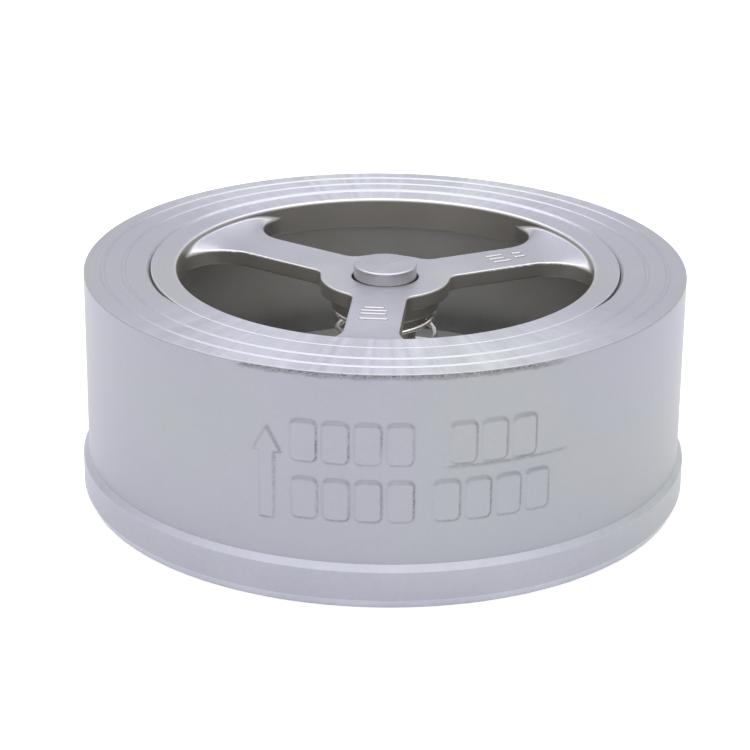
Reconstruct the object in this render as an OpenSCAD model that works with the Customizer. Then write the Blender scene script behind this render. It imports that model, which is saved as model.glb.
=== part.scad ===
// Spring-closed wafer lift check valve, DN 80.
// It stands on its inlet face with the flow going up. The origin is the centre of the
// inlet face and +Z is the flow direction. Millimetres.

/* [Body] */
// Length from the inlet face to the outlet face
face_to_face = 50; // [49:0.5:52]
// Diameter of the cast wall
body_d = 129.6; // [127:0.2:131]
// Diameter of the centring rim at the inlet end
rim_d = 132; // [131.5:0.5:136]
// Height of the straight part of the rim, with its lower chamfer
rim_h = 8.2; // [6:0.2:10]
// Height of the sloping ledge between the rim and the wall
ledge_h = 1.25; // [0.8:0.05:2]
// Radial size of the chamfer round the inlet face
foot_chamfer_w = 1; // [0.5:0.1:1.5]
// Height of the chamfer round the inlet face
foot_chamfer_h = 2; // [1:0.1:3]
// Radius of the edge round the outlet face
outlet_round = 0.3; // [0.2:0.1:1.4]

/* [Gasket grooves] */
// Middle diameter of each groove in the outlet face
groove_ds = [112.7, 121.6];
// Width of each groove at the face
groove_ws = [1.1, 1.1];
// Depth of the grooves
groove_depth = 0.25; // [0.1:0.05:0.5]

/* [Passage] */
// Diameter of the passage at the inlet face
inlet_d = 80; // [76:1:84]
// Height of the tapered inlet
inlet_taper_h = 4; // [2:0.5:6]
// Diameter of the throat under the disc
throat_d = 72; // [70:0.5:74]
// Height of the seat above the inlet face
seat_z = 12; // [11:0.5:13]
// Width of the flat seat land
seat_w = 3; // [2:0.5:4]
// Height of the seat land above the floor round it
seat_rise = 2; // [1:0.5:3]
// Diameter of the chamber round the disc, up to the guide frame
chamber_d = 98; // [94:0.5:98.5]
// Size of the corner chamfer between the chamber wall and its floor
chamber_corner = 3; // [1:0.5:5]

/* [Guide frame] */
// Outer diameter of the guide ring
ring_d = 101; // [99.5:0.5:102]
// Inner diameter of the guide ring
ring_bore_d = 90; // [88:0.5:92]
// Height of the guide ring
ring_h = 7.1; // [6.5:0.1:8]
// Radial clearance between the guide ring and the body
ring_gap = 0.2; // [0.05:0.05:0.3]
// Chamfer of the body's edge round the guide ring
seam_chamfer = 0.75; // [0.2:0.05:1]
// Chamfer of the outer edges of the guide ring
ring_edge = 0.2; // [0.1:0.1:0.4]
// Number of arms
arm_count = 3; // [3:1:4]
// Direction of the first arm, in degrees from +X
arm_angle = 25.5; // [0:0.5:60]
// Width of an arm
arm_w = 11.5; // [9:0.5:13]
// Thickness of an arm
arm_t = 3.5; // [3:0.1:4]
// Depth of the arms below the outlet face
arm_drop = 2.8; // [2.4:0.1:3.2]
// Radius of the fillet in plan where an arm meets the ring
arm_ring_fillet = 9; // [6:0.5:11]
// Radius of the fillet in plan where an arm meets the hub
arm_hub_fillet = 3.5; // [2:0.5:5]
// Radial length over which the top of an arm sweeps up toward the ring
arm_sweep_w = 9; // [6:0.5:12]
// Height that the top of an arm gains over that length
arm_sweep_rise = 1.6; // [0.5:0.1:1.6]
// Diameter of the hub
hub_d = 28; // [24:1:32]
// Diameter of the hub bore that guides the stem
hub_bore_d = 14.4; // [14.2:0.1:14.8]
// Diameter of the hub's thick middle, on which the spring bears
hub_seat_d = 23.2; // [23.2:0.2:23.8]
// How far the hub's thick middle reaches below the arms
hub_seat_h = 3.4; // [2:0.2:3.6]
// How far the collar in the middle of the hub reaches below the arms
collar_h = 6; // [5:0.5:7]

/* [Disc, stem and their fasteners] */
// Diameter of the disc
disc_d = 82; // [80:1:86]
// Thickness of the disc
disc_t = 8; // [7:0.5:9]
// Height that the disc lifts from the seat
lift = 12; // [10:0.5:13]
// Diameter of the disc boss and of the hub collar, which centre the spring
boss_d = 18.4; // [17:0.1:18.6]
// Diameter of the guided part of the stem
stem_d = 13.6; // [13:0.1:14]
// Depth of the stem top below the outlet face
stem_inset = 0.1; // [0:0.05:0.5]
// Diameter of the threaded part of the stem
thread_d = 10; // [9:0.5:10]
// Length of thread that stands out below the nut
thread_end = 1.5; // [0.5:0.5:2.5]
// Thickness of the lock washer
washer_t = 2.2; // [1.8:0.1:2.5]
// Outer diameter of the lock washer
washer_d = 18.1; // [17:0.1:19]
// Width of the slit in the lock washer
washer_slit = 1.4; // [1:0.1:2]
// Size of the nut across its flats
nut_af = 16; // [15:0.5:18]
// Height of the nut
nut_h = 5; // [4:0.5:6]

/* [Spring] */
// Diameter of the spring wire
wire_d = 1.2; // [1:0.1:1.4]
// Outer diameter of the spring
spring_d = 22.4; // [22:0.1:23]
// Number of active turns between the closed ends
active_turns = 3; // [3:0.5:4]
// Number of turns that lie nearly flat at each end
end_turns = 0.75; // [0.5:0.25:1]
// Direction in which the wire starts on the disc, in degrees from +X
wire_start_angle = 80; // [-180:1:180]

/* [Cast marks] */
// Height of the raised marks above the wall
mark_relief = 0.5; // [0.2:0.1:0.6]
// Direction of the flow arrow, in degrees from +X
arrow_angle = -110.7; // [-130:0.1:-108]
// Height of the tail of the arrow
arrow_z = 17.8; // [14:0.1:20]
// Length of the arrow
arrow_l = 19.6; // [15:0.1:22]
// Width of the arrow head
arrow_head_w = 6; // [5:0.1:8]
// Length of the arrow head
arrow_head_l = 5.3; // [4:0.1:7]
// Width of the arrow shaft
arrow_shaft_w = 3; // [2:0.1:4]
// Width of each blank block
block_w = 5.2; // [4:0.1:6]
// Height of each blank block
block_h = 8.6; // [6:0.1:9]
// Spacing of the blocks round the wall
block_pitch = 6.4; // [6.2:0.1:7]

/* [Hidden] */

$fn = 96;
overlap = 0.5;
metal = "silver";
bright_metal = "gainsboro";

ring_z = face_to_face - ring_h;
arm_z = face_to_face - arm_drop - arm_t;
hub_seat_z = arm_z - hub_seat_h;
collar_z = arm_z - collar_h;
disc_top_z = seat_z + disc_t;
boss_top_z = collar_z - lift;
floor_z = seat_z - seat_rise;
seat_bevel = 0.5;
seat_foot_w = 0.6;
washer_z = seat_z - washer_t;
nut_z = washer_z - nut_h;

stem_chamfer = 0.4;
stem_fit = 0.05;
ring_inner_round = 0.8;

disc_edge_chamfer = 0.8;
disc_land_w = 6;
disc_recess_r = 12;
disc_recess_depth = 1;
disc_top_rim_w = 6;
disc_top_inner_r = 15;
disc_top_recess = 2;
boss_chamfer = 0.5;

wire_r = wire_d / 2;
coil_r = spring_d / 2 - wire_r;
closed_pitch = wire_d + 0.1;
end_clearance = 0.02;
wire_sides = 8;
rings_per_turn = 24;
wire_low_z = disc_top_z + wire_r + end_clearance;
wire_high_z = hub_seat_z - wire_r - end_clearance;
active_pitch = (wire_high_z - wire_low_z - 2 * end_turns * closed_pitch) / active_turns;

// Each group of blank blocks: middle height, arc from the front to the first block, count
block_groups = [[35.2, -15.8, 4], [35.2, 16, 3], [23, -15.6, 4], [23, 12.8, 4]];
front_angle = -90;

// A square with a side of r on the outside of a corner at the origin, less a quarter circle
module corner_cut(r) {
    difference() {
        translate([-r, -r]) square(r + overlap);
        translate([-r, -r]) circle(r);
    }
}

// A groove in the outlet face, as a trapezium narrower at its bottom
module groove_profile(middle_r, w) {
    polygon([
        [middle_r - w / 2, face_to_face],
        [middle_r - w / 4, face_to_face - groove_depth],
        [middle_r + w / 4, face_to_face - groove_depth],
        [middle_r + w / 2, face_to_face],
        [middle_r + w / 2, face_to_face + overlap],
        [middle_r - w / 2, face_to_face + overlap]
    ]);
}

module body_outside() {
    polygon([
        [0, 0],
        [rim_d / 2 - foot_chamfer_w, 0],
        [rim_d / 2, foot_chamfer_h],
        [rim_d / 2, rim_h],
        [body_d / 2, rim_h + ledge_h],
        [body_d / 2, face_to_face],
        [0, face_to_face]
    ]);
}

module body_inside() {
    bore_r = ring_d / 2 + ring_gap;
    land_r = throat_d / 2 + seat_w;
    polygon([
        [-overlap, -overlap],
        [inlet_d / 2 + overlap, -overlap],
        [inlet_d / 2, 0],
        [throat_d / 2, inlet_taper_h],
        [throat_d / 2, seat_z - seat_bevel],
        [throat_d / 2 + seat_bevel, seat_z],
        [land_r, seat_z],
        [land_r + seat_foot_w, floor_z],
        [chamber_d / 2 - chamber_corner, floor_z],
        [chamber_d / 2, floor_z + chamber_corner],
        [chamber_d / 2, ring_z],
        [bore_r, ring_z],
        [bore_r, face_to_face - seam_chamfer],
        [bore_r + seam_chamfer, face_to_face],
        [bore_r + seam_chamfer, face_to_face + overlap],
        [-overlap, face_to_face + overlap]
    ]);
}

// Turns a shape that lies in the XY plane so that it stands on the wall: its +X runs
// round the wall to the right, its +Y runs up, and it is mark_relief proud of the wall.
module on_wall(angle, z) {
    rotate([0, 0, angle])
        translate([body_d / 2 - overlap, 0, z])
            rotate([90, 0, 90])
                linear_extrude(overlap + mark_relief) children();
}

module flow_arrow() {
    shaft = arrow_shaft_w / 2;
    neck = arrow_l - arrow_head_l;
    on_wall(arrow_angle, arrow_z)
        polygon([
            [-shaft, 0],
            [shaft, 0],
            [shaft, neck],
            [arrow_head_w / 2, neck],
            [0, arrow_l],
            [-arrow_head_w / 2, neck],
            [-shaft, neck]
        ]);
}

module blank_blocks() {
    degrees_per_arc = 360 / (PI * body_d);
    for (group = block_groups)
        for (i = [0 : group[2] - 1])
            on_wall(front_angle + (group[1] + i * block_pitch) * degrees_per_arc, group[0])
                square([block_w, block_h], center = true);
}

module valve_body() {
    color(metal) {
        rotate_extrude() difference() {
            body_outside();
            body_inside();
            translate([body_d / 2, face_to_face]) corner_cut(outlet_round);
            for (i = [0 : len(groove_ds) - 1])
                groove_profile(groove_ds[i] / 2, groove_ws[i]);
        }
        flow_arrow();
        blank_blocks();
    }
}

// One arm in plan, along +X, with the fillets that lead into the ring and the hub
module arm_plan() {
    ring_r = ring_bore_d / 2;
    ring_fillet_y = arm_w / 2 + arm_ring_fillet;
    ring_fillet_x = sqrt(pow(ring_r - arm_ring_fillet, 2) - pow(ring_fillet_y, 2));
    ring_fillet_angle = atan2(ring_fillet_y, ring_fillet_x);
    end_r = ring_r + overlap;
    hub_fillet_y = arm_w / 2 + arm_hub_fillet;
    hub_fillet_x = sqrt(pow(hub_d / 2 + arm_hub_fillet, 2) - pow(hub_fillet_y, 2));
    intersection() {
        circle(end_r);
        translate([0, -arm_w / 2]) square([end_r, arm_w]);
    }
    for (side = [-1, 1]) scale([1, side]) {
        difference() {
            intersection() {
                circle(end_r);
                polygon([
                    [ring_fillet_x, 0],
                    [ring_fillet_x, ring_fillet_y],
                    2 * end_r * [cos(ring_fillet_angle), sin(ring_fillet_angle)],
                    [2 * end_r, 0]
                ]);
            }
            translate([ring_fillet_x, ring_fillet_y]) circle(arm_ring_fillet);
        }
        difference() {
            polygon([[0, 0], [hub_fillet_x, 0], [hub_fillet_x, hub_fillet_y]]);
            translate([hub_fillet_x, hub_fillet_y]) circle(arm_hub_fillet);
        }
    }
}

// The hollow sweep on the tops of the arms, as a ring that is thickest at the guide ring
module arm_sweep() {
    arm_top_z = arm_z + arm_t;
    start_r = ring_bore_d / 2 - arm_sweep_w;
    sweep_r = (pow(arm_sweep_w, 2) + pow(arm_sweep_rise, 2)) / (2 * arm_sweep_rise);
    rotate_extrude() difference() {
        translate([start_r, arm_top_z - overlap])
            square([arm_sweep_w + overlap, arm_sweep_rise + overlap]);
        translate([start_r, arm_top_z + sweep_r]) circle(sweep_r);
    }
}

module guide_arm() {
    translate([0, 0, arm_z]) linear_extrude(arm_t) arm_plan();
    intersection() {
        arm_sweep();
        translate([0, 0, arm_z]) linear_extrude(arm_t + arm_drop) arm_plan();
    }
}

module guide_ring() {
    outer_r = ring_d / 2;
    inner_r = ring_bore_d / 2;
    rotate_extrude() difference() {
        polygon([
            [inner_r, ring_z],
            [outer_r - ring_edge, ring_z],
            [outer_r, ring_z + ring_edge],
            [outer_r, face_to_face - ring_edge],
            [outer_r - ring_edge, face_to_face],
            [inner_r, face_to_face]
        ]);
        translate([inner_r, face_to_face]) mirror([1, 0]) corner_cut(ring_inner_round);
    }
}

module guide_frame() {
    color(metal) {
        guide_ring();
        difference() {
            union() {
                for (i = [0 : arm_count - 1])
                    rotate([0, 0, arm_angle + i * 360 / arm_count]) guide_arm();
                translate([0, 0, arm_z]) cylinder(d = hub_d, h = arm_t);
                translate([0, 0, hub_seat_z]) cylinder(d = hub_seat_d, h = hub_seat_h + overlap);
                translate([0, 0, collar_z]) cylinder(d = boss_d, h = collar_h + overlap);
            }
            translate([0, 0, collar_z - overlap])
                cylinder(d = hub_bore_d, h = collar_h + arm_t + 2 * overlap);
        }
    }
}

module valve_disc() {
    hole_r = thread_d / 2 + stem_fit;
    outer_r = disc_d / 2;
    land_inner_r = outer_r - disc_land_w;
    top_outer_r = outer_r - disc_top_rim_w;
    color(bright_metal) rotate_extrude() polygon([
        [hole_r, seat_z],
        [disc_recess_r, seat_z],
        [disc_recess_r + disc_recess_depth, seat_z + disc_recess_depth],
        [land_inner_r - disc_recess_depth, seat_z + disc_recess_depth],
        [land_inner_r, seat_z],
        [outer_r - disc_edge_chamfer, seat_z],
        [outer_r, seat_z + disc_edge_chamfer],
        [outer_r, disc_top_z - disc_edge_chamfer],
        [outer_r - disc_edge_chamfer, disc_top_z],
        [top_outer_r, disc_top_z],
        [top_outer_r - disc_top_recess, disc_top_z - disc_top_recess],
        [disc_top_inner_r + disc_top_recess, disc_top_z - disc_top_recess],
        [disc_top_inner_r, disc_top_z],
        [boss_d / 2, disc_top_z],
        [boss_d / 2, boss_top_z - boss_chamfer],
        [boss_d / 2 - boss_chamfer, boss_top_z],
        [hole_r, boss_top_z]
    ]);
}

module guide_stem() {
    top_z = face_to_face - stem_inset;
    end_z = nut_z - thread_end;
    thread_r = thread_d / 2;
    color(bright_metal) rotate_extrude() polygon([
        [0, end_z],
        [thread_r - stem_chamfer * 2, end_z],
        [thread_r, end_z + stem_chamfer * 2],
        [thread_r, boss_top_z],
        [stem_d / 2, boss_top_z],
        [stem_d / 2, top_z - stem_chamfer],
        [stem_d / 2 - stem_chamfer, top_z],
        [0, top_z]
    ]);
}

module lock_washer() {
    color(bright_metal) translate([0, 0, washer_z]) difference() {
        cylinder(d = washer_d, h = washer_t);
        translate([0, 0, -overlap])
            cylinder(r = thread_d / 2 + 2 * stem_fit, h = washer_t + 2 * overlap);
        translate([0, -washer_slit / 2, -overlap])
            cube([washer_d, washer_slit, washer_t + 2 * overlap]);
    }
}

module stem_nut() {
    corner_r = nut_af / sqrt(3);
    corner_chamfer = 0.8;
    color(bright_metal) translate([0, 0, nut_z]) difference() {
        intersection() {
            cylinder(r = corner_r, h = nut_h, $fn = 6);
            rotate_extrude() polygon([
                [0, 0],
                [corner_r - 2 * corner_chamfer, 0],
                [corner_r, corner_chamfer],
                [corner_r, nut_h],
                [0, nut_h]
            ]);
        }
        translate([0, 0, -overlap])
            cylinder(r = thread_d / 2 + stem_fit / 2, h = nut_h + 2 * overlap);
    }
}

// Height of the wire's centre after a number of turns from its start on the disc
function wire_z(turns) =
    turns < end_turns ? wire_low_z + turns * closed_pitch :
    turns < end_turns + active_turns ?
        wire_low_z + end_turns * closed_pitch + (turns - end_turns) * active_pitch :
        wire_high_z - (2 * end_turns + active_turns - turns) * closed_pitch;

// A wire of wire_sides faces swept along the coil, as one closed polyhedron
module closing_spring() {
    ring_count = (active_turns + 2 * end_turns) * rings_per_turn + 1;
    points = [
        for (i = [0 : ring_count - 1])
            let (turns = i / rings_per_turn, around = wire_start_angle + 360 * turns)
                for (j = [0 : wire_sides - 1])
                    let (a = 360 * j / wire_sides, r = coil_r + wire_r * cos(a))
                        [r * cos(around), r * sin(around), wire_z(turns) + wire_r * sin(a)]
    ];
    side_faces = [
        for (i = [0 : ring_count - 2])
            for (j = [0 : wire_sides - 1])
                let (k = (j + 1) % wire_sides, low = i * wire_sides, high = low + wire_sides)
                    for (f = [[low + j, low + k, high + k], [low + j, high + k, high + j]]) f
    ];
    start_cap = [for (j = [wire_sides - 1 : -1 : 0]) j];
    end_cap = [for (j = [0 : wire_sides - 1]) (ring_count - 1) * wire_sides + j];
    color(bright_metal) polyhedron(points, concat(side_faces, [start_cap, end_cap]));
}

valve_body();
guide_frame();
valve_disc();
guide_stem();
lock_washer();
stem_nut();
closing_spring();
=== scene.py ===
import math

import bpy
import numpy as np
from mathutils import Matrix, Vector


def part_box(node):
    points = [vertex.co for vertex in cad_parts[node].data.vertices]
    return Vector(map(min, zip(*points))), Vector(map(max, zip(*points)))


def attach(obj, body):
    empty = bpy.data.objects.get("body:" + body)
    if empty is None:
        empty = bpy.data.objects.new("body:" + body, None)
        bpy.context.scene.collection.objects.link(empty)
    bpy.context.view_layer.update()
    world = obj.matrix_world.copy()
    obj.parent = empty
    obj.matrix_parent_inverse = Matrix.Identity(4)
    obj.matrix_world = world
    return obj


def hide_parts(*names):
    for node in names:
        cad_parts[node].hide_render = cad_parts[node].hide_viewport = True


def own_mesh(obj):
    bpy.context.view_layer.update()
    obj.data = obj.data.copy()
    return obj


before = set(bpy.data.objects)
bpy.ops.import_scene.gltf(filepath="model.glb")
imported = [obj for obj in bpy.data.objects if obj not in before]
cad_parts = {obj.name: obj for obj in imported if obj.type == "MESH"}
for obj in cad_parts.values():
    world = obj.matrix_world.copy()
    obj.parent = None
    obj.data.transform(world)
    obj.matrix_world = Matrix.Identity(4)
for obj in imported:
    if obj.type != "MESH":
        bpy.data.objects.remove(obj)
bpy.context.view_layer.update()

# Lengths are in millimetres up to mesh_object(), which turns them into metres.
MM = 0.001


def span(node):
    """Lowest and highest corner of a CAD node in millimetres, to the tenth that the design uses."""
    low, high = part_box(node)
    return np.round(np.array(low) / MM, 1), np.round(np.array(high) / MM, 1)


# ---------------------------------------------------------------- sizes from the frame
_, body_high = span("valve_body")
frame_low, frame_high = span("guide_frame")
disc_low, disc_high = span("valve_disc")
stem_low, stem_high = span("guide_stem")
washer_low, washer_high = span("lock_washer")
nut_low, nut_high = span("stem_nut")
spring_low, spring_high = span("closing_spring")

FRONT = math.radians(-90)

# ---------------------------------------------------------------- design of the body
OUTLET_Z = body_high[2]
RIM_R = body_high[0]
WALL_R = 64.8
RIM_H = 8.2
LEDGE_H = 1.25
FOOT_W, FOOT_H = 1.0, 2.0
OUTLET_CHAMFER = 0.2
GROOVES = (60.8, 56.35)
GROOVE_W = 1.1
GROOVE_DEPTH = 0.25
SEAM_CHAMFER = 0.75
RING_R = frame_high[0]
RING_GAP = 0.2
RING_H = 7.1
CHAMBER_R = 49.0
CHAMBER_CORNER = 3.0
SEAT_Z = disc_low[2]
SEAT_RISE = 2.0
SEAT_R = 36.0
SEAT_W = 3.0
INLET_R = 40.0
INLET_TAPER_H = 4.0

# ---------------------------------------------------------------- design of the guide frame
RING_BORE_R = 45.0
ARM_COUNT = 3
ARM_ANGLE = math.radians(25.5)
ARM_HALF_W = 5.75
ARM_T = 3.5
ARM_DROP = 2.8
ARM_RING_FILLET = 9.0
ARM_HUB_FILLET = 3.5
ARM_SWEEP_R = 36.0
ARM_SWEEP_RISE = 1.6
ARM_SWEEP_EDGE = 1.3
ARM_WALL_FILLET = 0.4
ARM_EDGE_ROUND = 0.35
RING_OUTER_ROUND = 0.2
RING_INNER_ROUND = 0.8
HUB_R = 14.0
HUB_BORE_R = 7.2
HUB_SEAT_R = 11.6
BOSS_R = 9.2
HUB_SEAT_Z = spring_high[2]
HUB_SEAT_ROUND = 0.4
HUB_BORE_ROUND = 0.35
ARM_TOP_Z = OUTLET_Z - ARM_DROP
ARM_LOW_Z = ARM_TOP_Z - ARM_T
# How far the arms reach into the ring, and the collar and the hub's seat into the hub
ARM_ROOT = 1.5
HUB_OVERLAP = 1.0

# ---------------------------------------------------------------- mesh helpers


def mesh_object(name, points, faces, materials, face_finish=None, normals=None, sharp=None):
    """A smooth-shaded mesh from points in millimetres. Each array in faces has a row of indexes a face."""
    mesh = bpy.data.meshes.new(name)
    points = np.asarray(points, float) * MM
    loops = np.concatenate([np.asarray(f).ravel() for f in faces]).astype(np.int32)
    sizes = np.concatenate([np.full(len(f), np.asarray(f).shape[1]) for f in faces])
    mesh.vertices.add(len(points))
    mesh.vertices.foreach_set("co", points.astype(np.float32).ravel())
    mesh.loops.add(len(loops))
    mesh.loops.foreach_set("vertex_index", loops)
    mesh.polygons.add(len(sizes))
    starts = np.concatenate([[0], np.cumsum(sizes)[:-1]])
    mesh.polygons.foreach_set("loop_start", starts.astype(np.int32))
    mesh.polygons.foreach_set("loop_total", sizes.astype(np.int32))
    if face_finish is not None:
        mesh.polygons.foreach_set("material_index", np.asarray(face_finish, np.int32))
    mesh.update(calc_edges=True)
    mesh.validate()
    mesh.shade_smooth()
    if sharp is not None:
        mesh.set_sharp_from_angle(angle=math.radians(sharp))
    if normals is not None:
        mesh.normals_split_custom_set_from_vertices(normals.tolist())
    for material in materials:
        mesh.materials.append(material)
    piece = bpy.data.objects.new(name, mesh)
    bpy.context.scene.collection.objects.link(piece)
    return piece


# Name of the attribute that tells the materials where painted shade is
PAINTED_SHADE_NAME = "painted_shade"
# Largest turn of one step of a rounding, and how far its support points lie outside it
ARC_STEP = math.radians(12)
SUPPORT = 0.08
LATHE_COLUMNS = 180


def rounded(corners, closed=True):
    """Turns corners (r, z, rounding radius, finish of the stretch that follows) into points and finishes.

    Each rounding becomes an arc. A support point just outside each end of an arc keeps the flats flat
    when the mesh is shaded smooth."""
    points, finishes = [], []
    count = len(corners)
    for i, (r, z, radius, finish) in enumerate(corners):
        here = np.array((r, z), float)
        before = np.array(corners[i - 1][:2], float)
        after = np.array(corners[(i + 1) % count][:2], float)
        before_finish = corners[i - 1][3]
        open_end = not closed and i in (0, count - 1)
        if radius == 0 or open_end:
            points.append(here)
            finishes.append(finish)
            continue
        to_before = (before - here) / np.linalg.norm(before - here)
        to_after = (after - here) / np.linalg.norm(after - here)
        between = math.acos(np.clip(to_before @ to_after, -1, 1))
        tangent = radius / math.tan(between / 2)
        middle = to_before + to_after
        centre = here + middle / np.linalg.norm(middle) * radius / math.sin(between / 2)
        start = here + to_before * tangent
        turn = math.pi - between
        side = np.sign(to_before[0] * to_after[1] - to_before[1] * to_after[0])
        steps = max(2, math.ceil(turn / ARC_STEP))
        points.append(start + to_before * SUPPORT)
        finishes.append(before_finish)
        for k in range(steps + 1):
            a = -side * turn * k / steps
            r_out, z_out = start - centre
            swung = (r_out * math.cos(a) - z_out * math.sin(a), r_out * math.sin(a) + z_out * math.cos(a))
            points.append(centre + np.array(swung))
            finishes.append(finish)
        points.append(points[-1] + to_after * SUPPORT)
        finishes.append(finish)
    return np.array(points), np.array(finishes)


def grid_faces(rows, columns, close_rows, close_columns):
    """Quads of a grid of rows x columns points, wrapped round where it is closed."""
    i = np.arange(rows if close_rows else rows - 1)
    j = np.arange(columns if close_columns else columns - 1)
    i, j = (a.ravel() for a in np.meshgrid(i, j, indexing="ij"))
    i2, j2 = (i + 1) % rows, (j + 1) % columns
    return np.stack([i * columns + j, i * columns + j2, i2 * columns + j2, i2 * columns + j], 1)


def lathe(name, corners, materials, angles=None, closed=True, shape=None, sharp=None):
    """Revolves corners about Z. With closed False the outline starts and ends on the axis.

    shape(radius, height, angles) may move the points. Edges over the angle sharp stay sharp."""
    outline, finish = rounded(corners, closed)
    if angles is None:
        angles = np.linspace(0, 2 * math.pi, LATHE_COLUMNS, endpoint=False)
    poles = not closed
    if poles:
        low, high = outline[0], outline[-1]
        outline, finish = outline[1:-1], finish[1:-1]
    radius = np.repeat(outline[:, :1], len(angles), 1)
    height = np.repeat(outline[:, 1:], len(angles), 1)
    if shape:
        radius, height = shape(radius, height, angles)
    points = np.stack([radius * np.cos(angles), radius * np.sin(angles), height], 2).reshape(-1, 3)
    rows, columns = radius.shape
    quads = grid_faces(rows, columns, closed, True)
    indexes = np.repeat(finish[: rows if closed else rows - 1], columns)
    faces, all_finish = [quads], [indexes]
    if poles:
        first, last = len(points), len(points) + 1
        points = np.concatenate([points, [[0, 0, low[1]], [0, 0, high[1]]]])
        j = np.arange(columns)
        k = (j + 1) % columns
        top = (rows - 1) * columns
        faces += [np.stack([np.full(columns, first), k, j], 1),
                  np.stack([np.full(columns, last), top + j, top + k], 1)]
        all_finish += [np.full(columns, finish[0]), np.full(columns, finish[-1])]
    return mesh_object(name, points, faces, materials, np.concatenate(all_finish), sharp=sharp)


def painted_shade(piece, darkness):
    """Stores the painted shade darkness(x, y, z), 0 to 1 at each point in millimetres, for the material to
    read.
    """
    mesh = piece.data
    points = np.empty(3 * len(mesh.vertices), np.float32)
    mesh.vertices.foreach_get("co", points)
    values = darkness(*(points.reshape(-1, 3).T / MM))
    mesh.attributes.new(PAINTED_SHADE_NAME, "FLOAT", "POINT").data.foreach_set("value", values.astype(np.float32))


def ramp(value, low, high):
    """0 below low, 1 above high and smooth between."""
    t = np.clip((value - low) / (high - low), 0, 1)
    return t * t * (3 - 2 * t)


WAVE_COUNT = 12


def waves(seed, *coordinates):
    """A smooth repeatable unevenness, mostly between -1 and 1: sine waves in seeded directions."""
    draw = np.random.default_rng(seed)
    total = 0
    for _ in range(WAVE_COUNT):
        direction = draw.normal(size=len(coordinates))
        phase = draw.uniform(0, 2 * math.pi)
        total = total + np.sin(sum(d * c for d, c in zip(direction, coordinates)) + phase)
    return total / (WAVE_COUNT / 2)


# ---------------------------------------------------------------- materials


class Graph:
    """Short calls to add nodes to the node tree of a material or a world."""

    def __init__(self, owner):
        owner.use_nodes = True
        self.tree = owner.node_tree

    def node(self, kind, settings=None, **inputs):
        made = self.tree.nodes.new(kind)
        for key, value in (settings or {}).items():
            setattr(made, key, value)
        for key, value in inputs.items():
            self.put(made.inputs[key.replace("_", " ")], value)
        return made

    def put(self, socket, value):
        if isinstance(value, bpy.types.NodeSocket):
            self.tree.links.new(value, socket)
        else:
            socket.default_value = value

    def maths(self, operation, a, b=0.0):
        made = self.node("ShaderNodeMath", {"operation": operation})
        self.put(made.inputs[0], a)
        self.put(made.inputs[1], b)
        return made.outputs[0]

    def noise(self, vector, scale, detail=2.0, roughness=0.5):
        made = self.node("ShaderNodeTexNoise", None, Vector=vector, Scale=scale, Detail=detail,
                         Roughness=roughness)
        return made.outputs["Fac"]

    def spread(self, value, low, high, to_low, to_high):
        """Maps low..high to to_low..to_high, held at the ends."""
        made = self.node("ShaderNodeMapRange", {"clamp": True}, Value=value, From_Min=low, From_Max=high,
                         To_Min=to_low, To_Max=to_high)
        return made.outputs["Result"]

    def blend(self, factor, a, b):
        made = self.node("ShaderNodeMix", {"data_type": "RGBA"})
        self.put(made.inputs["Factor"], factor)
        for socket, value in zip([i for i in made.inputs if i.type == "RGBA"], (a, b)):
            self.put(socket, value)
        return [o for o in made.outputs if o.type == "RGBA"][0]

    def bump(self, height, distance_mm, normal=None):
        made = self.node("ShaderNodeBump", None, Height=height, Distance=distance_mm * MM)
        if normal is not None:
            self.put(made.inputs["Normal"], normal)
        return made.outputs["Normal"]

    def place(self):
        return self.node("ShaderNodeTexCoord").outputs["Object"]

    def split(self, vector):
        return self.node("ShaderNodeSeparateXYZ", None, Vector=vector).outputs


# Scales of the shaders' noise, in repeats a metre
TONE_SCALE = 22.0
DRIFT_SCALE = 30.0
CLOUD_SCALE = 45.0
LUMP_SCALE = 180.0
GRAIN_SCALE = 700.0
FINE_SCALE = 900.0
SPECK_SCALE = 2600.0
# How far the noise behind the turning marks changes round the axis, in metres
DRIFT = 0.0008


def turning_marks(g, place, pitch_mm):
    """Fine rings round the axis, on faces and on walls: noise of the radius and the height only."""
    x, y, z = g.split(place)
    radius = g.maths("SQRT", g.maths("ADD", g.maths("MULTIPLY", x, x), g.maths("MULTIPLY", y, y)))
    drift = g.maths("MULTIPLY", g.noise(place, DRIFT_SCALE, 1.0), DRIFT)
    line = g.node("ShaderNodeCombineXYZ", None, X=radius, Y=drift, Z=z).outputs[0]
    return g.noise(line, 1.0 / (pitch_mm * MM), 3.0, 0.65)


def chatter(g, place, fineness):
    """Radial streaks, as a facing tool leaves, and their painted reflection: noise of the direction from
    the axis.
    """
    x, y, _ = g.split(place)
    flat = g.node("ShaderNodeCombineXYZ", None, X=x, Y=y).outputs[0]
    spoke = g.node("ShaderNodeVectorMath", {"operation": "NORMALIZE"}, Vector=flat).outputs[0]
    return g.noise(spoke, fineness, 2.0, 0.6)


# Tints, as shares of a grey, the colour of the painted shade and the tint of the painted highlight
COOL = (0.965, 0.972, 1.12)
GREENISH = (0.965, 0.995, 1.05)
WARM = (1.03, 1.0, 0.97)
NEUTRAL = (0.99, 1.0, 1.0)
PAINTED_SHADE_COLOUR = (0.085, 0.087, 0.08, 1.0)
EDGE_HIGHLIGHT_TINT = (1.0, 1.0, 1.045)


def rgba(grey, tint):
    """A grey with a tint, as a colour with alpha."""
    return tuple(grey * t for t in tint) + (1.0,)


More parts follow.
